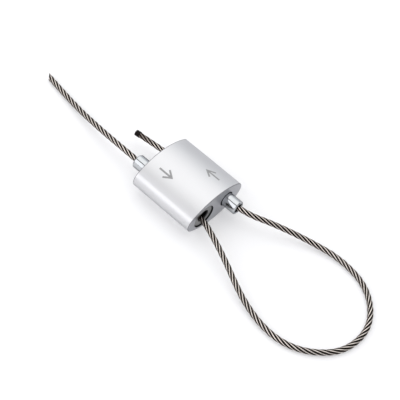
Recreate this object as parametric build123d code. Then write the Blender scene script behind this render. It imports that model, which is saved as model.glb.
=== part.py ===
from build123d import *
import math
import os

# Double-channel wire rope grip with its rope, in millimetres.
# X runs along the two channels, Y across them, Z up through the thickness; the block lies on Z = 0.
# The lead channel is at -Y and takes the rope towards +X; the return channel is the same, turned half round.

# Block
BLOCK_LENGTH = 20.7
BLOCK_WIDTH = 21.2
BLOCK_THICKNESS = 10.2
SIDE_RADIUS = 3.1
END_CHAMFER = 0.12
CHANNEL_OFFSET = 4.5
MID_HEIGHT = BLOCK_THICKNESS / 2

# Rope
ROPE_DIAMETER = 1.6

# Channel, measured inwards from the face that the plunger stands out of
GUIDE_DIAMETER = 4.7
GUIDE_LENGTH = 4.3
CONE_HALF_ANGLE = 10.0
CHAMBER_DIAMETER = 6.2

# Bush that closes the exit end
BUSH_DIAMETER = 7.3
BUSH_LENGTH = 3.9
BUSH_RECESS = 0.3
BUSH_BORE = 3.6
BUSH_CHAMFER = 0.35
BUSH_BORE_CHAMFER = 0.2
PRESS_GAP = 0.01

# Plunger
PLUNGER_DIAMETER = 4.1
PLUNGER_BORE = 2.2
PLUNGER_REACH = 4.4
TIP_CHAMFER = 0.3
TIP_COUNTERSINK = 0.4
COLLAR_DIAMETER = 5.5
COLLAR_START = 8.4
COLLAR_LENGTH = 1.0
SPIGOT_DIAMETER = 3.8
SPIGOT_LENGTH = 1.6
SPIGOT_CHAMFER = 0.3

# Balls and their windows
BALLS_PER_PLUNGER = 3
BALL_DIAMETER = 1.8
BALL_GAP = 0.02
WINDOW_GAP = 0.05

# Spring
SPRING_WIRE = 0.5
SPRING_WIRE_SIDES = 6
SPRING_DIAMETER = 5.4
SPRING_TURNS = 4
SPRING_END_GAP = 0.02

# Route of the rope: cut end, lead channel, open loop, return channel, tail
ROPE_ROUTE = [
    (-57.2, 0.85, 0.8),
    (-44.2, -1.2, 0.8),
    (-30.8, -3.4, 3.3),
    (-17.5, -4.5, 5.1),
    (8.5, -4.5, 5.1),
    (20.5, -9.1, 4.1),
    (34.8, -14.7, 1.3),
    (46.3, -16.2, 0.8),
    (54.9, -12.9, 0.8),
    (61.4, -5.2, 0.8),
    (61.4, 5.7, 0.8),
    (53.8, 14.0, 0.8),
    (43.1, 15.9, 0.8),
    (33.3, 13.3, 1.6),
    (24.8, 9.1, 3.7),
    (16.5, 4.5, 5.1),
    (-4.0, 4.5, 5.1),
    (-22.3, 2.8, 4.4),
]
ARC_SHARE = 0.45

# Depths and radii that follow from the driving sizes
cone_slope = math.tan(math.radians(CONE_HALF_ANGLE))
cone_end = GUIDE_LENGTH + (CHAMBER_DIAMETER - GUIDE_DIAMETER) / 2 / cone_slope
bush_seat = BLOCK_LENGTH - BUSH_RECESS - BUSH_LENGTH
ball_circle = ROPE_DIAMETER / 2 + BALL_DIAMETER / 2 + BALL_GAP
ball_contact = ball_circle + (BALL_DIAMETER / 2 + BALL_GAP) / math.cos(math.radians(CONE_HALF_ANGLE))
ball_depth = GUIDE_LENGTH + (ball_contact - GUIDE_DIAMETER / 2) / cone_slope
spring_start = COLLAR_START + COLLAR_LENGTH
lead_mouth = Pos(-BLOCK_LENGTH / 2, -CHANNEL_OFFSET, MID_HEIGHT)


def turned(profile):
    """Solid of revolution round the X axis from (depth, radius) points."""
    return revolve(make_face(Polyline(*profile, close=True)), Axis.X)


def half_turn(piece):
    """The same piece in the return channel."""
    return piece.rotate(Axis.Z, 180)


def block_outline():
    """Section of the block: two wide crowned faces that run smoothly into the round sides."""
    side_centre = BLOCK_WIDTH / 2 - SIDE_RADIUS
    rise = BLOCK_THICKNESS / 2
    crown_radius = (side_centre**2 + rise**2 - SIDE_RADIUS**2) / (BLOCK_THICKNESS - 2 * SIDE_RADIUS)
    lean = math.atan2(crown_radius - rise, side_centre)
    join_y = side_centre + SIDE_RADIUS * math.cos(lean)
    join_z = SIDE_RADIUS * math.sin(lean)
    crown = ThreePointArc((-join_y, join_z), (0, rise), (join_y, join_z))
    right = ThreePointArc((join_y, join_z), (BLOCK_WIDTH / 2, 0), (join_y, -join_z))
    belly = ThreePointArc((join_y, -join_z), (0, -rise), (-join_y, -join_z))
    left = ThreePointArc((-join_y, -join_z), (-BLOCK_WIDTH / 2, 0), (-join_y, join_z))
    return make_face([crown, right, belly, left])


def channel_cut():
    """Guide hole, gripping cone, spring chamber and bush seat, left sharp at both mouths."""
    guide = GUIDE_DIAMETER / 2
    chamber = CHAMBER_DIAMETER / 2
    seat = BUSH_DIAMETER / 2
    return turned(
        [
            (0, 0),
            (0, guide),
            (GUIDE_LENGTH, guide),
            (cone_end, chamber),
            (bush_seat, chamber),
            (bush_seat, seat),
            (BLOCK_LENGTH, seat),
            (BLOCK_LENGTH, 0),
        ]
    )


def housing():
    """Extruded block with broken end edges and two bored channels that face opposite ways."""
    section = Plane.YZ.offset(-BLOCK_LENGTH / 2) * block_outline()
    block = Pos(0, 0, MID_HEIGHT) * extrude(section, BLOCK_LENGTH)
    end_faces = block.faces().filter_by(Axis.X)
    block = chamfer(end_faces.edges(), END_CHAMFER)
    cut = lead_mouth * channel_cut()
    return block - cut - half_turn(cut)


def plunger():
    """Release tube: polished outer end, three ball windows, spring collar and spigot."""
    outside = PLUNGER_DIAMETER / 2
    bore = PLUNGER_BORE / 2
    collar = COLLAR_DIAMETER / 2
    spigot = SPIGOT_DIAMETER / 2
    spigot_end = spring_start + SPIGOT_LENGTH
    body = turned(
        [
            (-PLUNGER_REACH, bore + TIP_COUNTERSINK),
            (-PLUNGER_REACH, outside - TIP_CHAMFER),
            (TIP_CHAMFER - PLUNGER_REACH, outside),
            (COLLAR_START, outside),
            (COLLAR_START, collar),
            (spring_start, collar),
            (spring_start, spigot),
            (spigot_end - SPIGOT_CHAMFER, spigot),
            (spigot_end, spigot - SPIGOT_CHAMFER),
            (spigot_end, bore),
            (TIP_COUNTERSINK - PLUNGER_REACH, bore),
        ]
    )
    window = Cylinder(BALL_DIAMETER / 2 + WINDOW_GAP, outside, align=(Align.CENTER, Align.CENTER, Align.MIN))
    for number in range(BALLS_PER_PLUNGER):
        body -= Rot(X=number * 360 / BALLS_PER_PLUNGER) * Pos(X=ball_depth) * window
    return lead_mouth * body


def ball(number):
    """One clutch ball, between the rope and the gripping cone."""
    around = Rot(X=number * 360 / BALLS_PER_PLUNGER)
    return lead_mouth * around * Pos(ball_depth, 0, ball_circle) * Sphere(BALL_DIAMETER / 2)


def spring():
    """Helical compression spring between the plunger's collar and the bush, its wire kept six-sided."""
    free_room = bush_seat - spring_start - 2 * SPRING_END_GAP
    rise = free_room - SPRING_WIRE
    coil = Helix(rise / SPRING_TURNS, rise, (SPRING_DIAMETER - SPRING_WIRE) / 2)
    section = RegularPolygon(SPRING_WIRE / 2, SPRING_WIRE_SIDES)
    wire = sweep(Plane(origin=coil @ 0, z_dir=coil % 0) * section, path=coil)
    first_turn = spring_start + SPRING_END_GAP + SPRING_WIRE / 2
    return lead_mouth * Pos(X=first_turn) * Rot(Y=90) * wire


def bush():
    """Steel ring pressed into the exit end, a little below the face, with broken edges."""
    outside = BUSH_DIAMETER / 2 - PRESS_GAP
    bore = BUSH_BORE / 2
    face = bush_seat + BUSH_LENGTH
    ring = turned(
        [
            (bush_seat, bore),
            (bush_seat, outside),
            (face - BUSH_CHAMFER, outside),
            (face, outside - BUSH_CHAMFER),
            (face, bore + BUSH_BORE_CHAMFER),
            (face - BUSH_BORE_CHAMFER, bore),
        ]
    )
    return lead_mouth * ring


def corner_radius(before, corner, after):
    """Largest even bend at a route point: a fixed share of the shorter run either side of it."""
    into = Vector(corner) - Vector(before)
    out = Vector(after) - Vector(corner)
    half_bend = math.radians(into.get_angle(out)) / 2
    return ARC_SHARE * min(into.length, out.length) / math.tan(half_bend)


def wire_rope():
    """Round tube along the route, straight runs joined by tangent arcs."""
    bends = zip(ROPE_ROUTE, ROPE_ROUTE[1:], ROPE_ROUTE[2:])
    radii = [corner_radius(*bend) for bend in bends]
    line = FilletPolyline(*ROPE_ROUTE, radius=radii)
    tube = sweep(Plane(origin=line @ 0, z_dir=line % 0) * Circle(ROPE_DIAMETER / 2), path=line)
    section = math.pi * ROPE_DIAMETER**2 / 4
    print("rope bend radii", [round(radius, 1) for radius in radii])
    print("rope length", round(line.length, 1), "volume ratio", round(tube.volume / (section * line.length), 4))
    return tube


nodes = {
    "housing": housing(),
    "lead_plunger": plunger(),
    "lead_spring": spring(),
    "lead_bush": bush(),
}
for number in range(BALLS_PER_PLUNGER):
    nodes[f"lead_ball_{number + 1}"] = ball(number)
for name in [name for name in nodes if name.startswith("lead_")]:
    nodes[name.replace("lead_", "return_")] = half_turn(nodes[name])
nodes["wire_rope"] = wire_rope()

os.makedirs("parts", exist_ok=True)
for name, solid in nodes.items():
    export_step(solid, f"parts/{name}.step")
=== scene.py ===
import math

import bmesh
import bpy
from mathutils import Matrix, Quaternion, Vector, noise


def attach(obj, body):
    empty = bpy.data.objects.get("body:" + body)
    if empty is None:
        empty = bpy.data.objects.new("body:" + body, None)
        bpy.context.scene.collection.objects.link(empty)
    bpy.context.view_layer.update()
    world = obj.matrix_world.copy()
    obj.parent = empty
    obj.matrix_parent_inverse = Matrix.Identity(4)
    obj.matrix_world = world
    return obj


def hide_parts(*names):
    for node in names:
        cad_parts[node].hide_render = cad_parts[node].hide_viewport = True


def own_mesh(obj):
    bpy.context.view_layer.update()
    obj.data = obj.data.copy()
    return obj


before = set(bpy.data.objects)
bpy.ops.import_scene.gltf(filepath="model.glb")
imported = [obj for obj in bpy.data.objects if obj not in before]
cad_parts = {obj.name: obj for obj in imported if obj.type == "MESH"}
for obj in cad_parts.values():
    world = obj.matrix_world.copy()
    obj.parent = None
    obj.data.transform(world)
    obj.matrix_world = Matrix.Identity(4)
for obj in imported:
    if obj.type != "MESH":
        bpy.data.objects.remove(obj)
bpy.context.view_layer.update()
scene = bpy.context.scene

# Housing: a block cut from an extruded light-metal bar, bored from both ends, tumbled and then
# anodised to a silver satin. Its end faces are painted greyer than the sides as painted shade, a thin
# dark band of painted shade runs along each end's rim, and the bores are painted near black as painted
# shade.
MM = 0.001
END_FACE_X = 10.35 * MM
END_BREAK = 0.12 * MM
CHANNEL_Y = 4.5 * MM
CHANNEL_Z = 5.1 * MM
SEAT_RADIUS = 3.8 * MM
FINE_SCALE = 9000.0
FINE_DETAIL = 4.0
BROAD_SCALE = 350.0
BROAD_DETAIL = 3.0
EVEN_STRETCH = (1.0, 1.0, 1.0)


def add_node(tree, kind, inputs=None, **settings):
    """A shader node with its settings, and its inputs set to a value or linked to a socket."""
    node = tree.nodes.new(kind)
    for name, value in settings.items():
        setattr(node, name, value)
    for name, value in (inputs or {}).items():
        if isinstance(value, bpy.types.NodeSocket):
            tree.links.new(value, node.inputs[name])
        else:
            node.inputs[name].default_value = value
    return node


def metal_grain_group():
    """Fine uneven grain of a worked metal surface, drawn out along the way it was worked."""
    group = bpy.data.node_groups.new("metal_grain", "ShaderNodeTree")
    group.interface.new_socket("Stretch", in_out="INPUT", socket_type="NodeSocketVector")
    group.interface.new_socket("Grain", in_out="OUTPUT", socket_type="NodeSocketFloat")
    group.interface.new_socket("Cloud", in_out="OUTPUT", socket_type="NodeSocketFloat")
    start = group.nodes.new("NodeGroupInput")
    end = group.nodes.new("NodeGroupOutput")
    place = add_node(group, "ShaderNodeTexCoord")
    drawn = add_node(
        group,
        "ShaderNodeVectorMath",
        {0: place.outputs["Object"], 1: start.outputs["Stretch"]},
        operation="MULTIPLY",
    )
    fine = add_node(
        group,
        "ShaderNodeTexNoise",
        {"Vector": drawn.outputs[0], "Scale": FINE_SCALE, "Detail": FINE_DETAIL},
    )
    broad = add_node(
        group,
        "ShaderNodeTexNoise",
        {"Vector": drawn.outputs[0], "Scale": BROAD_SCALE, "Detail": BROAD_DETAIL},
    )
    group.links.new(fine.outputs["Fac"], end.inputs["Grain"])
    group.links.new(broad.outputs["Fac"], end.inputs["Cloud"])
    return group


def painted_bore_shade_group():
    """Mask of what lies within a radius of either channel's axis and a distance of the middle, where
    the bores get painted shade.
    """
    group = bpy.data.node_groups.new("painted_bore_shade", "ShaderNodeTree")
    group.interface.new_socket("Radius", in_out="INPUT", socket_type="NodeSocketFloat")
    group.interface.new_socket("Depth", in_out="INPUT", socket_type="NodeSocketFloat")
    group.interface.new_socket("Inside", in_out="OUTPUT", socket_type="NodeSocketFloat")
    start = group.nodes.new("NodeGroupInput")
    end = group.nodes.new("NodeGroupOutput")
    place = add_node(group, "ShaderNodeTexCoord")
    split = add_node(group, "ShaderNodeSeparateXYZ", {"Vector": place.outputs["Object"]})
    along = add_node(group, "ShaderNodeMath", {0: split.outputs["X"]}, operation="ABSOLUTE")
    side = add_node(group, "ShaderNodeMath", {0: split.outputs["Y"]}, operation="ABSOLUTE")
    across = add_node(group, "ShaderNodeCombineXYZ", {"Y": side.outputs[0], "Z": split.outputs["Z"]})
    gap = add_node(
        group,
        "ShaderNodeVectorMath",
        {0: across.outputs["Vector"], 1: (0.0, CHANNEL_Y, CHANNEL_Z)},
        operation="DISTANCE",
    )
    near = add_node(
        group,
        "ShaderNodeMath",
        {0: gap.outputs["Value"], 1: start.outputs["Radius"]},
        operation="LESS_THAN",
    )
    deep = add_node(
        group,
        "ShaderNodeMath",
        {0: along.outputs[0], 1: start.outputs["Depth"]},
        operation="LESS_THAN",
    )
    both = add_node(
        group,
        "ShaderNodeMath",
        {0: near.outputs[0], 1: deep.outputs[0]},
        operation="MULTIPLY",
    )
    group.links.new(both.outputs[0], end.inputs["Inside"])
    return group


metal_grain = metal_grain_group()
painted_bore_shade = painted_bore_shade_group()


def start_metal(name):
    """A new metal material: its tree and its Principled shader."""
    material = bpy.data.materials.new(name)
    material.use_nodes = True
    shader = material.node_tree.nodes["Principled BSDF"]
    shader.inputs["Metallic"].default_value = 1.0
    return material, material.node_tree, shader


def place_grain(tree, stretch):
    """The shared grain in one material, stretched along X, Y and Z."""
    grain = add_node(tree, "ShaderNodeGroup", node_tree=metal_grain)
    grain.inputs["Stretch"].default_value = stretch
    return grain


def spread(tree, value, low, high):
    """A 0 to 1 value brought into the range low to high."""
    node = add_node(tree, "ShaderNodeMapRange", {"Value": value, "To Min": low, "To Max": high})
    return node.outputs["Result"]


def blend_colours(tree, mask, first, second):
    """First colour where the mask is 0, second where it is 1."""
    mix = add_node(tree, "ShaderNodeMix", data_type="RGBA")
    tree.links.new(mask, mix.inputs["Factor"])
    for socket, colour in (("A_Color", first), ("B_Color", second)):
        target = next(s for s in mix.inputs if s.identifier == socket)
        if isinstance(colour, bpy.types.NodeSocket):
            tree.links.new(colour, target)
        else:
            target.default_value = (*colour, 1.0)
    return next(s for s in mix.outputs if s.identifier == "Result_Color")


def place_bore_shade(tree, radius, depth):
    """The shared mask of painted bore shade in one material."""
    bore = add_node(tree, "ShaderNodeGroup", node_tree=painted_bore_shade)
    bore.inputs["Radius"].default_value = radius
    bore.inputs["Depth"].default_value = depth
    return bore.outputs["Inside"]


def finish_metal(tree, shader, colour, roughness):
    """Colour and roughness to the shader."""
    tree.links.new(colour, shader.inputs["Base Color"])
    tree.links.new(roughness, shader.inputs["Roughness"])


def raise_grain(tree, shader, height, strength, distance):
    """Height to the shader's normal."""
    bump = add_node(
        tree, "ShaderNodeBump", {"Height": height, "Strength": strength, "Distance": distance}
    )
    tree.links.new(bump.outputs["Normal"], shader.inputs["Normal"])


def dress(node, material):
    """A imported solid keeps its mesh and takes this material."""
    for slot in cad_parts[node].material_slots:
        slot.material = material


SATIN_BRIGHT = (0.67, 0.67, 0.68)
SATIN_DULL = (0.64, 0.64, 0.65)
SATIN_EDGE = (0.45, 0.46, 0.48, 1.0)
# Painted shade: the end faces are given a greyer colour than the sides.
PAINTED_END_SHADE = (0.56, 0.56, 0.58)
# Painted shade: a thin band of dark colour along the sides and broken edges next to each end.
PAINTED_RIM_SHADE = (0.26, 0.26, 0.27)
RIM_SHADE_BAND = 0.13 * MM
RIM_SHADE_FADE = 0.06 * MM
# Painted shade: the colour inside the bores, near black.
PAINTED_BORE_SHADE = (0.05, 0.05, 0.05)
SATIN_STRETCH = (0.25, 1.0, 1.0)
SATIN_ROUGHNESS = (0.36, 0.46)
SATIN_BUMP = 0.25
SATIN_GRAIN_DEPTH = 0.006 * MM
END_MASK_START = END_FACE_X - 0.2 * END_BREAK
END_MASK_FULL = END_FACE_X - 0.1 * END_BREAK

satin, tree, shader = start_metal("satin_anodised")
grain = place_grain(tree, SATIN_STRETCH)
place = add_node(tree, "ShaderNodeTexCoord")
split = add_node(tree, "ShaderNodeSeparateXYZ", {"Vector": place.outputs["Object"]})
along = add_node(tree, "ShaderNodeMath", {0: split.outputs["X"]}, operation="ABSOLUTE")
end_mask = add_node(
    tree,
    "ShaderNodeMapRange",
    {"Value": along.outputs[0], "From Min": END_MASK_START, "From Max": END_MASK_FULL},
)
# Mask of the painted rim shade: dark from just short of each end's broken edge outwards.
rim_shade_start = END_FACE_X - END_BREAK - RIM_SHADE_BAND
rim_shade_mask = add_node(
    tree,
    "ShaderNodeMapRange",
    {"Value": along.outputs[0], "From Min": rim_shade_start, "From Max": rim_shade_start + RIM_SHADE_FADE},
)
sides = blend_colours(tree, grain.outputs["Cloud"], SATIN_DULL, SATIN_BRIGHT)
# Painted shade: the dark rim band laid over the sides' colour.
rim_shaded = blend_colours(tree, rim_shade_mask.outputs["Result"], sides, PAINTED_RIM_SHADE)
# Painted shade: the end faces take the greyer colour.
outside = blend_colours(tree, end_mask.outputs["Result"], rim_shaded, PAINTED_END_SHADE)
# Painted shade: the housing's bores and seats are coloured near black.
bore_shade_mask = place_bore_shade(tree, SEAT_RADIUS, END_MASK_FULL)
colour = blend_colours(tree, bore_shade_mask, outside, PAINTED_BORE_SHADE)
shader.inputs["Specular Tint"].default_value = SATIN_EDGE
finish_metal(tree, shader, colour, spread(tree, grain.outputs["Grain"], *SATIN_ROUGHNESS))
raise_grain(tree, shader, grain.outputs["Grain"], SATIN_BUMP, SATIN_GRAIN_DEPTH)
dress("housing", satin)

# Direction arrows: one on the crowned face over each channel, marked into the anodised skin as a thin
# grey layer. Each points the way in which the rope is pushed through its channel.
CROWN_RADIUS = 18.1605 * MM
CROWN_TOP = 10.2 * MM
ARROW_Y = 4.6 * MM
ARROW_TAIL_X = 6.7 * MM
ARROW_TIP_X = 2.2 * MM
BARB_LENGTH = 2.5 * MM
BARB_ANGLE = math.radians(33.0)
HALF_STROKE = 0.26 * MM
MARK_LIFT = 0.006 * MM
MARK_DEPTH = 0.012 * MM
MERGE_GAP = 0.001 * MM
MARK_STEP = 0.3 * MM
MARK_STEPS = 6
MARK_GREY = (0.24, 0.24, 0.24)
MARK_PALE = (0.33, 0.33, 0.33)
MARK_ROUGHNESS = (0.45, 0.65)


def crown_height(y):
    """Height of the crowned top face above the table at this distance from its middle."""
    return CROWN_TOP - CROWN_RADIUS + math.sqrt(CROWN_RADIUS**2 - y**2)


def finish_piece(name, bm, material, body):
    """The bmesh as an object at the origin, with its material and body."""
    mesh = bpy.data.meshes.new(name)
    bm.to_mesh(mesh)
    bm.free()
    mesh.materials.append(material)
    piece = bpy.data.objects.new(name, mesh)
    scene.collection.objects.link(piece)
    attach(piece, body)
    return piece


marking, tree, shader = start_metal("marking_grey")
shader.inputs["Metallic"].default_value = 0.0
grain = place_grain(tree, EVEN_STRETCH)
colour = blend_colours(tree, grain.outputs["Grain"], MARK_GREY, MARK_PALE)
finish_metal(tree, shader, colour, spread(tree, grain.outputs["Grain"], *MARK_ROUGHNESS))

shaft = ARROW_TIP_X - ARROW_TAIL_X
crotch = -HALF_STROKE * (1 + math.cos(BARB_ANGLE)) / math.sin(BARB_ANGLE)
barb = Vector((-math.cos(BARB_ANGLE), math.sin(BARB_ANGLE), 0.0)) * BARB_LENGTH
across = Vector((math.sin(BARB_ANGLE), math.cos(BARB_ANGLE), 0.0)) * HALF_STROKE
upper_half = [
    Vector((shaft, HALF_STROKE, 0.0)),
    Vector((crotch, HALF_STROKE, 0.0)),
    barb - across,
    barb + across,
]
nose = Vector((HALF_STROKE / math.sin(BARB_ANGLE), 0.0, 0.0))
lower_half = [Vector((corner.x, -corner.y, 0.0)) for corner in reversed(upper_half)]
for name, turn in (("lead_arrow", 0.0), ("return_arrow", math.pi)):
    bm = bmesh.new()
    face = bm.faces.new([bm.verts.new(corner) for corner in upper_half + [nose] + lower_half])
    bmesh.ops.triangulate(bm, faces=[face])
    for step in range(-MARK_STEPS, MARK_STEPS + 1):
        bmesh.ops.bisect_plane(
            bm,
            geom=bm.verts[:] + bm.edges[:] + bm.faces[:],
            plane_co=(0.0, step * MARK_STEP, 0.0),
            plane_no=(0, 1, 0),
        )
    bmesh.ops.remove_doubles(bm, verts=bm.verts, dist=MERGE_GAP)
    bmesh.ops.translate(bm, verts=bm.verts, vec=(-ARROW_TIP_X, -ARROW_Y, 0.0))
    bmesh.ops.rotate(bm, verts=bm.verts, cent=(0, 0, 0), matrix=Matrix.Rotation(turn, 3, "Z"))
    for vert in bm.verts:
        vert.co.z = crown_height(vert.co.y) + MARK_LIFT
    bmesh.ops.recalc_face_normals(bm, faces=bm.faces)
    bmesh.ops.solidify(bm, geom=bm.faces[:], thickness=MARK_DEPTH)
    finish_piece(name, bm, marking, "housing")

# Plungers: release tubes turned from steel bar and polished bright, with a broken edge at the tip.
# They slide in the guide holes and stand out of opposite ends of the housing.
CHROME_BRIGHT = (0.56, 0.575, 0.59)
CHROME_DULL = (0.50, 0.515, 0.53)
CHROME_EDGE = (0.04, 0.04, 0.05, 1.0)
TIP_BORE_RADIUS = 1.4 * MM
TIP_END_X = 16.0 * MM
CHROME_STRETCH = (1.0, 0.12, 0.12)
CHROME_ROUGHNESS = (0.05, 0.11)
CHROME_BUMP = 0.08
CHROME_GRAIN_DEPTH = 0.002 * MM

chrome, tree, shader = start_metal("polished_plunger")
grain = place_grain(tree, CHROME_STRETCH)
outside = blend_colours(tree, grain.outputs["Cloud"], CHROME_DULL, CHROME_BRIGHT)
# Painted shade: the plunger's bore is coloured near black.
bore_shade_mask = place_bore_shade(tree, TIP_BORE_RADIUS, TIP_END_X)
colour = blend_colours(tree, bore_shade_mask, outside, PAINTED_BORE_SHADE)
shader.inputs["Specular Tint"].default_value = CHROME_EDGE
finish_metal(tree, shader, colour, spread(tree, grain.outputs["Cloud"], *CHROME_ROUGHNESS))
raise_grain(tree, shader, grain.outputs["Grain"], CHROME_BUMP, CHROME_GRAIN_DEPTH)
for side in ("lead", "return"):
    dress(f"{side}_plunger", chrome)

# Balls: three hardened and lapped steel balls in the windows of each plunger, wedged between the rope
# and the gripping cone.
BALL_BRIGHT = (0.56, 0.56, 0.58)
BALL_DULL = (0.48, 0.48, 0.50)
BALL_ROUGHNESS = (0.06, 0.14)
BALLS_PER_PLUNGER = 3

lapped, tree, shader = start_metal("lapped_ball")
grain = place_grain(tree, EVEN_STRETCH)
colour = blend_colours(tree, grain.outputs["Cloud"], BALL_DULL, BALL_BRIGHT)
finish_metal(tree, shader, colour, spread(tree, grain.outputs["Cloud"], *BALL_ROUGHNESS))
for side in ("lead", "return"):
    for number in range(1, BALLS_PER_PLUNGER + 1):
        dress(f"{side}_ball_{number}", lapped)

# Springs: cold-wound compression springs of round drawn wire with closed end turns, between the
# plunger's collar and the bush. They shorten as the plunger is pressed.
SPRING_COLLAR_X = -0.93 * MM
SPRING_BUSH_X = 6.13 * MM
SPRING_WIRE = 0.5 * MM
SPRING_MEAN_RADIUS = 2.45 * MM
WIRE_SIDES = 12
STEPS_PER_TURN = 32
CLOSED_TURNS = 1.0
OPEN_TURNS = 3.5
DRAWN_BRIGHT = (0.42, 0.42, 0.44)
DRAWN_DULL = (0.32, 0.32, 0.34)
DRAWN_ROUGHNESS = (0.25, 0.40)
DRAWN_BUMP = 0.15
DRAWN_GRAIN_DEPTH = 0.003 * MM
QUAD_CORNERS = 4

drawn_wire, tree, shader = start_metal("drawn_spring_wire")
grain = place_grain(tree, EVEN_STRETCH)
colour = blend_colours(tree, grain.outputs["Cloud"], DRAWN_DULL, DRAWN_BRIGHT)
finish_metal(tree, shader, colour, spread(tree, grain.outputs["Grain"], *DRAWN_ROUGHNESS))
raise_grain(tree, shader, grain.outputs["Grain"], DRAWN_BUMP, DRAWN_GRAIN_DEPTH)

spring_length = SPRING_BUSH_X - SPRING_COLLAR_X
closed_rise = CLOSED_TURNS * SPRING_WIRE
open_rise = spring_length - SPRING_WIRE - 2 * closed_rise
winding = ((CLOSED_TURNS, closed_rise), (OPEN_TURNS, open_rise), (CLOSED_TURNS, closed_rise))
for side, turn in (("lead", 0.0), ("return", math.pi)):
    bm = bmesh.new()
    lie_across = Matrix.Rotation(math.pi / 2, 4, "X")
    first_section = Vector((SPRING_COLLAR_X + SPRING_WIRE / 2, 0.0, SPRING_MEAN_RADIUS))
    ring = bmesh.ops.create_circle(
        bm,
        cap_ends=True,
        segments=WIRE_SIDES,
        radius=SPRING_WIRE / 2,
        matrix=Matrix.Translation(first_section) @ lie_across,
    )
    section = list(ring["verts"][0].link_faces)
    for turns, rise in winding:
        steps = round(turns * STEPS_PER_TURN)
        swept = bmesh.ops.spin(
            bm,
            geom=section,
            cent=(0, 0, 0),
            axis=(1, 0, 0),
            dvec=(rise / steps, 0, 0),
            angle=turns * 2 * math.pi,
            steps=steps,
        )
        section = [part for part in swept["geom_last"] if isinstance(part, bmesh.types.BMFace)]
    bmesh.ops.remove_doubles(bm, verts=bm.verts, dist=MERGE_GAP)
    inner = [face for face in bm.faces if all(len(edge.link_faces) > 2 for edge in face.edges)]
    bmesh.ops.delete(bm, geom=inner, context="FACES_ONLY")
    bmesh.ops.recalc_face_normals(bm, faces=bm.faces)
    bmesh.ops.translate(bm, verts=bm.verts, vec=(0.0, -CHANNEL_Y, CHANNEL_Z))
    bmesh.ops.rotate(bm, verts=bm.verts, cent=(0, 0, 0), matrix=Matrix.Rotation(turn, 3, "Z"))
    for face in bm.faces:
        face.smooth = len(face.verts) == QUAD_CORNERS
    coil = finish_piece(f"{side}_coil", bm, drawn_wire, "housing")
    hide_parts(f"{side}_spring")
    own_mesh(coil)

# Bushes: rings turned from steel bar and pressed into the exit ends, a little below the faces.
# They keep the springs in and guide the rope out.
TURNED_BRIGHT = (0.27, 0.27, 0.27)
TURNED_DULL = (0.20, 0.20, 0.20)
BUSH_BORE_RADIUS = 2.0 * MM
TURNED_ROUGHNESS = (0.30, 0.45)
TURNED_BUMP = 0.2
TURNED_GRAIN_DEPTH = 0.004 * MM

turned, tree, shader = start_metal("turned_bush")
grain = place_grain(tree, EVEN_STRETCH)
outside = blend_colours(tree, grain.outputs["Cloud"], TURNED_DULL, TURNED_BRIGHT)
# Painted shade: the bush's bore is coloured near black.
bore_shade_mask = place_bore_shade(tree, BUSH_BORE_RADIUS, END_FACE_X)
colour = blend_colours(tree, bore_shade_mask, outside, PAINTED_BORE_SHADE)
finish_metal(tree, shader, colour, spread(tree, grain.outputs["Grain"], *TURNED_ROUGHNESS))
raise_grain(tree, shader, grain.outputs["Grain"], TURNED_BUMP, TURNED_GRAIN_DEPTH)
for side in ("lead", "return"):
    dress(f"{side}_bush", turned)

# Wire rope: six strands of seven bright drawn wires each, laid right-handed round a core strand.
# It runs through the lead channel, round an open loop and back through the return channel to a tail.
ROPE_DIAMETER = 1.6 * MM
LAY_LENGTH = 12.3 * MM
WIRE_LAY_LENGTH = 5.5 * MM
STRANDS = 6
STRAND_RADIUS = ROPE_DIAMETER / 6
STRAND_CIRCLE = ROPE_DIAMETER / 3
WIRES_ROUND = 6
WIRE_CREST = 0.30
WIRE_SHOULDER = 0.98
WIRE_PROFILE = ((-WIRE_CREST, WIRE_SHOULDER), (0.0, 1.0), (WIRE_CREST, WIRE_SHOULDER))
SECTION_POINTS = len(WIRE_PROFILE) * WIRES_ROUND
LINE_ORDER = 3
LINE_STEPS = 40
CUT_BACK = 0.9 * MM
CUT_SLOPE = 1.25
CUT_REACH = 4.0 * MM
SCORCH_FADE = 7.5 * MM
SCORCH_MOST = 0.90
# Painted shade: away from each strand's crest, into the grooves between strands, the colour goes near
# black.
GROOVE_SHADE_START = 0.08
GROOVE_SHADE_END = 0.39
WIRE_BRIGHT = (0.86, 0.80, 0.75)
WIRE_DULL = (0.62, 0.57, 0.53)
WIRE_EDGE = (0.20, 0.18, 0.17, 1.0)
PAINTED_GROOVE_SHADE = (0.032, 0.025, 0.021)
SHEARED_BRIGHT = (0.68, 0.66, 0.64)
SHEARED_DULL = (0.42, 0.40, 0.38)
SCORCH_BROWN = (0.030, 0.013, 0.009)
ROPE_ROUGHNESS = (0.12, 0.26)
SHEARED_ROUGHNESS = (0.25, 0.45)
SHEARED_BUMP = 0.4
SHEARED_GRAIN_DEPTH = 0.008 * MM
SHEARED_SLOT = 1
ROPE_ROUTE = [
    (-0.0572, 0.00085, 0.0008),
    (-0.0442, -0.0012, 0.0008),
    (-0.0308, -0.0034, 0.0033),
    (-0.0175, -0.0045, 0.0051),
    (-0.0044, -0.0045, 0.0051),
    (0.0085, -0.0045, 0.0051),
    (0.0206, -0.0086, 0.0041),
    (0.03485, -0.0146, 0.0013),
    (0.0463, -0.0162, 0.0008),
    (0.0549, -0.0129, 0.0008),
    (0.0614, -0.0052, 0.0008),
    (0.0614, 0.0057, 0.0008),
    (0.0538, 0.0140, 0.0008),
    (0.0431, 0.0159, 0.0008),
    (0.0333, 0.0133, 0.0016),
    (0.0248, 0.0091, 0.0037),
    (0.0165, 0.0045, 0.0051),
    (0.0069, 0.0045, 0.0051),
    (-0.0040, 0.0045, 0.0051),
    (-0.0223, 0.0028, 0.0044),
]


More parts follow.
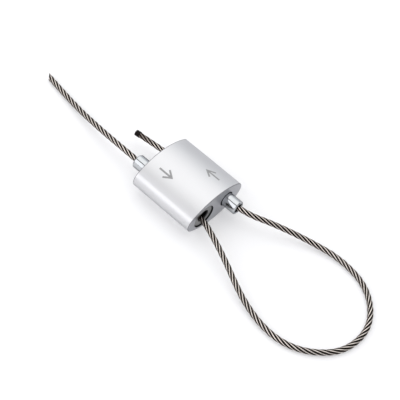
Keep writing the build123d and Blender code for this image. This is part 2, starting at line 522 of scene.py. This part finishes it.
def curve_points(curve):
    """The points that Blender gives for a curve with no bevel."""
    holder = bpy.data.objects.new("line_holder", curve)
    scene.collection.objects.link(holder)
    bpy.context.view_layer.update()
    shown = holder.evaluated_get(bpy.context.evaluated_depsgraph_get())
    line = bpy.data.meshes.new_from_object(shown)
    points = [vert.co.copy() for vert in line.vertices]
    bpy.data.objects.remove(holder)
    bpy.data.meshes.remove(line)
    return points


route = bpy.data.curves.new("rope_line", "CURVE")
route.dimensions = "3D"
spline = route.splines.new("NURBS")
spline.points.add(len(ROPE_ROUTE) - 1)
for point, place in zip(spline.points, ROPE_ROUTE):
    point.co = (*place, 1.0)
spline.order_u = LINE_ORDER
spline.use_endpoint_u = True
spline.resolution_u = LINE_STEPS
rope_line = curve_points(route)

travelled = [0.0]
for before, after in zip(rope_line, rope_line[1:]):
    travelled.append(travelled[-1] + (after - before).length)
rope_end = travelled[-1]

outward = []
lean = Vector((0.0, 0.0, 1.0))
for index in range(len(rope_line)):
    before = rope_line[max(index - 1, 0)]
    after = rope_line[min(index + 1, len(rope_line) - 1)]
    tangent = (after - before).normalized()
    lean = (lean - lean.dot(tangent) * tangent).normalized()
    outward.append((tangent, lean.copy()))

section = bpy.data.curves.new("strand_section", "CURVE")
section.dimensions = "2D"
outline = section.splines.new("POLY")
outline.points.add(SECTION_POINTS - 1)
for wire in range(WIRES_ROUND):
    middle = wire * 2 * math.pi / WIRES_ROUND
    for step, (turn, radius) in enumerate(WIRE_PROFILE):
        angle = middle + turn
        outline.points[len(WIRE_PROFILE) * wire + step].co = (
            STRAND_RADIUS * radius * math.cos(angle),
            STRAND_RADIUS * radius * math.sin(angle),
            0.0,
            1.0,
        )
outline.use_cyclic_u = True
section_holder = bpy.data.objects.new("strand_section", section)
scene.collection.objects.link(section_holder)

strands = bpy.data.curves.new("rope_strands", "CURVE")
strands.dimensions = "3D"
strands.bevel_mode = "OBJECT"
strands.bevel_object = section_holder
strands.twist_mode = "MINIMUM"
rings = []
for strand in range(STRANDS + 1):
    circle = STRAND_CIRCLE if strand < STRANDS else 0.0
    path = strands.splines.new("POLY")
    path.points.add(len(rope_line) - 1)
    for index, point in enumerate(path.points):
        tangent, lean = outward[index]
        turn = 2 * math.pi * (travelled[index] / LAY_LENGTH + strand / STRANDS)
        side = Quaternion(tangent, turn) @ lean
        rings.append((index, side))
        point.co = (*(rope_line[index] + side * circle), 1.0)
        point.tilt = -2 * math.pi * travelled[index] / WIRE_LAY_LENGTH
holder = bpy.data.objects.new("strand_holder", strands)
scene.collection.objects.link(holder)
bpy.context.view_layer.update()
shown = holder.evaluated_get(bpy.context.evaluated_depsgraph_get())
rope_mesh = bpy.data.meshes.new_from_object(shown)
rope_mesh.name = "stranded_rope"
bpy.data.objects.remove(holder)
bpy.data.objects.remove(section_holder)

off_crest = rope_mesh.attributes.new("off_crest", "FLOAT", "POINT")
scorch = rope_mesh.attributes.new("scorch", "FLOAT", "POINT")
for vert in rope_mesh.vertices:
    index, side = rings[vert.index // SECTION_POINTS]
    from_axis = vert.co - rope_line[index]
    across = outward[index][0].cross(side)
    turn = math.atan2(from_axis.dot(across), from_axis.dot(side))
    off_crest.data[vert.index].value = turn * STRANDS / math.pi
    to_end = rope_end - travelled[index]
    scorch.data[vert.index].value = SCORCH_MOST * max(0.0, 1.0 - to_end / SCORCH_FADE)
bm = bmesh.new()
bm.from_mesh(rope_mesh)
start_tangent = outward[0][0]
cut_side = Vector((0.0, 0.0, 1.0)).cross(start_tangent)
near_cut = [vert for vert in bm.verts if (vert.co - rope_line[0]).length < CUT_REACH]
near_faces = list({face for vert in near_cut for face in vert.link_faces})
near_edges = list({edge for face in near_faces for edge in face.edges})
bmesh.ops.bisect_plane(
    bm,
    geom=near_cut + near_edges + near_faces,
    plane_co=rope_line[0] + start_tangent * CUT_BACK,
    plane_no=start_tangent + cut_side * CUT_SLOPE,
    clear_inner=True,
)
sheared = bmesh.ops.holes_fill(bm, edges=bm.edges[:])
for face in sheared["faces"]:
    face.material_index = SHEARED_SLOT
bmesh.ops.recalc_face_normals(bm, faces=bm.faces)
for face in bm.faces:
    face.smooth = len(face.verts) == QUAD_CORNERS
bm.to_mesh(rope_mesh)
bm.free()

rope_wire, tree, shader = start_metal("rope_wire")
grain = place_grain(tree, EVEN_STRETCH)
# Painted shade: the wires darken into the grooves between strands, read from the off_crest attribute.
crest = add_node(tree, "ShaderNodeAttribute", attribute_name="off_crest")
aside = add_node(tree, "ShaderNodeMath", {0: crest.outputs["Fac"]}, operation="ABSOLUTE")
groove_shade = add_node(
    tree,
    "ShaderNodeMapRange",
    {"Value": aside.outputs[0], "From Min": GROOVE_SHADE_START, "From Max": GROOVE_SHADE_END},
)
burnt = add_node(tree, "ShaderNodeAttribute", attribute_name="scorch")
bright = blend_colours(tree, grain.outputs["Cloud"], WIRE_DULL, WIRE_BRIGHT)
groove_shaded = blend_colours(tree, groove_shade.outputs["Result"], bright, PAINTED_GROOVE_SHADE)
colour = blend_colours(tree, burnt.outputs["Fac"], groove_shaded, SCORCH_BROWN)
shader.inputs["Specular Tint"].default_value = WIRE_EDGE
finish_metal(tree, shader, colour, spread(tree, grain.outputs["Grain"], *ROPE_ROUGHNESS))

cut_wire, tree, shader = start_metal("sheared_wire")
grain = place_grain(tree, EVEN_STRETCH)
colour = blend_colours(tree, grain.outputs["Grain"], SHEARED_DULL, SHEARED_BRIGHT)
finish_metal(tree, shader, colour, spread(tree, grain.outputs["Grain"], *SHEARED_ROUGHNESS))
raise_grain(tree, shader, grain.outputs["Grain"], SHEARED_BUMP, SHEARED_GRAIN_DEPTH)

rope_mesh.materials.append(rope_wire)
rope_mesh.materials.append(cut_wire)
rope = bpy.data.objects.new("stranded_rope", rope_mesh)
scene.collection.objects.link(rope)
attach(rope, "housing")
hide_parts("wire_rope")

# Fused tip: where the tail was cut hot, its wires are melted together into a short black plug with
# a flat, slightly uneven end.
TIP_LENGTH = 1.5 * MM
TIP_BACK = 1.3 * MM
TIP_RADIUS = 0.88 * MM
TIP_SIDES = 24
TIP_ROUND = 0.12 * MM
TIP_ROUND_STEPS = 3
TIP_ROUND_PROFILE = 0.5
TIP_UNEVEN = 0.05 * MM
LUMP_SIZE = 0.6 * MM
LUMP_SHIFTS = (0.0, 17.3, 41.9)
FUSED_BLACK = (0.004, 0.003, 0.003)
FUSED_BROWN = (0.011, 0.008, 0.007)
FUSED_ROUGHNESS = (0.45, 0.70)
FUSED_SHINE = 0.08
FUSED_BUMP = 0.3
FUSED_GRAIN_DEPTH = 0.01 * MM

fused, tree, shader = start_metal("fused_black")
shader.inputs["Metallic"].default_value = 0.0
shader.inputs["Specular IOR Level"].default_value = FUSED_SHINE
grain = place_grain(tree, EVEN_STRETCH)
colour = blend_colours(tree, grain.outputs["Cloud"], FUSED_BLACK, FUSED_BROWN)
finish_metal(tree, shader, colour, spread(tree, grain.outputs["Cloud"], *FUSED_ROUGHNESS))
raise_grain(tree, shader, grain.outputs["Grain"], FUSED_BUMP, FUSED_GRAIN_DEPTH)

tail_tangent = outward[-1][0]
middle = rope_line[-1] + tail_tangent * (TIP_LENGTH / 2 - TIP_BACK)
along_tail = tail_tangent.to_track_quat("Z", "Y").to_matrix().to_4x4()
bm = bmesh.new()
bmesh.ops.create_cone(
    bm,
    cap_ends=True,
    segments=TIP_SIDES,
    radius1=TIP_RADIUS,
    radius2=TIP_RADIUS,
    depth=TIP_LENGTH,
    matrix=Matrix.Translation(middle) @ along_tail,
)
rims = [edge for edge in bm.edges if any(len(face.verts) == TIP_SIDES for face in edge.link_faces)]
bmesh.ops.bevel(
    bm,
    geom=rims,
    offset=TIP_ROUND,
    segments=TIP_ROUND_STEPS,
    profile=TIP_ROUND_PROFILE,
    affect="EDGES",
    clamp_overlap=True,
    material=-1,
)
for vert in bm.verts:
    spot = vert.co / LUMP_SIZE
    lump = [noise.noise(spot + Vector((shift, shift, shift))) for shift in LUMP_SHIFTS]
    vert.co += Vector(lump) * TIP_UNEVEN
for face in bm.faces:
    face.smooth = len(face.verts) == QUAD_CORNERS
tip = finish_piece("fused_tip", bm, fused, "housing")

# Floor: a plain white sweep of card that the grip and its rope lie on. It is a round sheet, turned up
# all along its rim.
FLOOR_RADIUS = 2.2
RIM_RADIUS = 0.3
RIM_STEPS = 6
FLOOR_STEPS = 64
FLOOR_WHITE = (0.70, 0.70, 0.71)
FLOOR_ROUGHNESS = 0.9
FLOOR_GLOW = (1.0, 1.0, 1.0, 1.0)
FLOOR_LIFT = 0.28
FLOOR_MERGE_GAP = 0.0001

card = bpy.data.materials.new("white_card")
card.use_nodes = True
tree = card.node_tree
shader = tree.nodes["Principled BSDF"]
shader.inputs["Base Color"].default_value = (*FLOOR_WHITE, 1.0)
shader.inputs["Roughness"].default_value = FLOOR_ROUGHNESS
shader.inputs["Emission Color"].default_value = FLOOR_GLOW
rays = add_node(tree, "ShaderNodeLightPath")
seen = rays.outputs["Is Camera Ray"]
for kind in ("Is Glossy Ray", "Is Transmission Ray"):
    either = add_node(tree, "ShaderNodeMath", {0: seen, 1: rays.outputs[kind]}, operation="MAXIMUM")
    seen = either.outputs[0]
lifted = add_node(tree, "ShaderNodeMath", {0: seen, 1: FLOOR_LIFT}, operation="MULTIPLY")
tree.links.new(lifted.outputs[0], shader.inputs["Emission Strength"])

bm = bmesh.new()
foot = bm.verts.new((FLOOR_RADIUS, 0.0, 0.0))
bmesh.ops.spin(
    bm,
    geom=[foot],
    cent=(FLOOR_RADIUS, 0.0, RIM_RADIUS),
    axis=(0, -1, 0),
    angle=math.pi / 2,
    steps=RIM_STEPS,
)
middle = bm.verts.new((0.0, 0.0, 0.0))
bm.edges.new((middle, foot))
bmesh.ops.spin(
    bm,
    geom=bm.verts[:] + bm.edges[:],
    cent=(0, 0, 0),
    axis=(0, 0, 1),
    angle=2 * math.pi,
    steps=FLOOR_STEPS,
    use_merge=True,
)
bmesh.ops.remove_doubles(bm, verts=bm.verts, dist=FLOOR_MERGE_GAP)
bmesh.ops.recalc_face_normals(bm, faces=bm.faces)
floor_mesh = bpy.data.meshes.new("floor")
bm.to_mesh(floor_mesh)
bm.free()
floor_mesh.materials.append(card)
floor = bpy.data.objects.new("floor", floor_mesh)
scene.collection.objects.link(floor)

# Light: a white tent over the grip, lit through its two sides, with a narrow dark slit by its ridge and
# another along its foot at -Y. Each row is an angle from straight up towards +Y, and the light there.
TENT = [
    (-89.0, (0.40, 0.40, 0.41)),
    (-88.0, (0.10, 0.10, 0.11)),
    (-81.0, (0.10, 0.10, 0.11)),
    (-79.0, (1.72, 1.72, 1.76)),
    (-27.0, (1.72, 1.72, 1.76)),
    (-25.0, (0.05, 0.05, 0.05)),
    (-15.0, (0.05, 0.05, 0.05)),
    (-13.0, (1.56, 1.56, 1.56)),
    (35.0, (1.54, 1.54, 1.54)),
    (62.0, (1.02, 1.04, 1.07)),
    (88.0, (0.54, 0.56, 0.60)),
]
OPEN_END_START = 0.05
OPEN_END_FULL = 0.75
OPEN_END_SHARE = 0.40
TENT_SPAN = 180.0
RAMP_MIDDLE = 0.5

world = bpy.data.worlds.new("tent")
scene.world = world
world.use_nodes = True
tree = world.node_tree
place = add_node(tree, "ShaderNodeTexCoord")
split = add_node(tree, "ShaderNodeSeparateXYZ", {"Vector": place.outputs["Generated"]})
tilt = add_node(
    tree,
    "ShaderNodeMath",
    {0: split.outputs["Y"], 1: split.outputs["Z"]},
    operation="ARCTAN2",
)
share = add_node(
    tree,
    "ShaderNodeMapRange",
    {"Value": tilt.outputs[0], "From Min": -math.pi / 2, "From Max": math.pi / 2},
)
ramp = add_node(tree, "ShaderNodeValToRGB", {"Fac": share.outputs["Result"]})
for _ in TENT[2:]:
    ramp.color_ramp.elements.new(RAMP_MIDDLE)
for stop, (angle, light) in zip(ramp.color_ramp.elements, TENT):
    stop.position = RAMP_MIDDLE + angle / TENT_SPAN
    stop.color = (*light, 1.0)
open_end = add_node(
    tree,
    "ShaderNodeMapRange",
    {
        "Value": split.outputs["X"],
        "From Min": OPEN_END_START,
        "From Max": OPEN_END_FULL,
        "To Min": 1.0,
        "To Max": OPEN_END_SHARE,
    },
)
tree.links.new(ramp.outputs["Color"], tree.nodes["Background"].inputs["Color"])
tree.links.new(open_end.outputs["Result"], tree.nodes["Background"].inputs["Strength"])

# Camera: looks down on the grip from the loop's side with a long lens, and is turned a little round its
# line of sight.
CAMERA_PLACE = (0.09822, -0.14260, 0.22517)
CAMERA_AIM = (0.00591, -0.00129, 0.0051)
CAMERA_ROLL = math.radians(12.55)
LENS_MM = 92.96
SENSOR_MM = 36.0
CLIP_START = 0.01

camera = bpy.data.cameras.new("camera")
camera.lens = LENS_MM
camera.sensor_width = SENSOR_MM
camera.clip_start = CLIP_START
view = bpy.data.objects.new("camera", camera)
view.location = CAMERA_PLACE
sight = Vector(CAMERA_AIM) - Vector(CAMERA_PLACE)
turned_sight = sight.to_track_quat("-Z", "Y") @ Quaternion((0, 0, 1), CAMERA_ROLL)
view.rotation_euler = turned_sight.to_euler()
scene.collection.objects.link(view)
scene.camera = view
scene.view_settings.view_transform = "Standard"
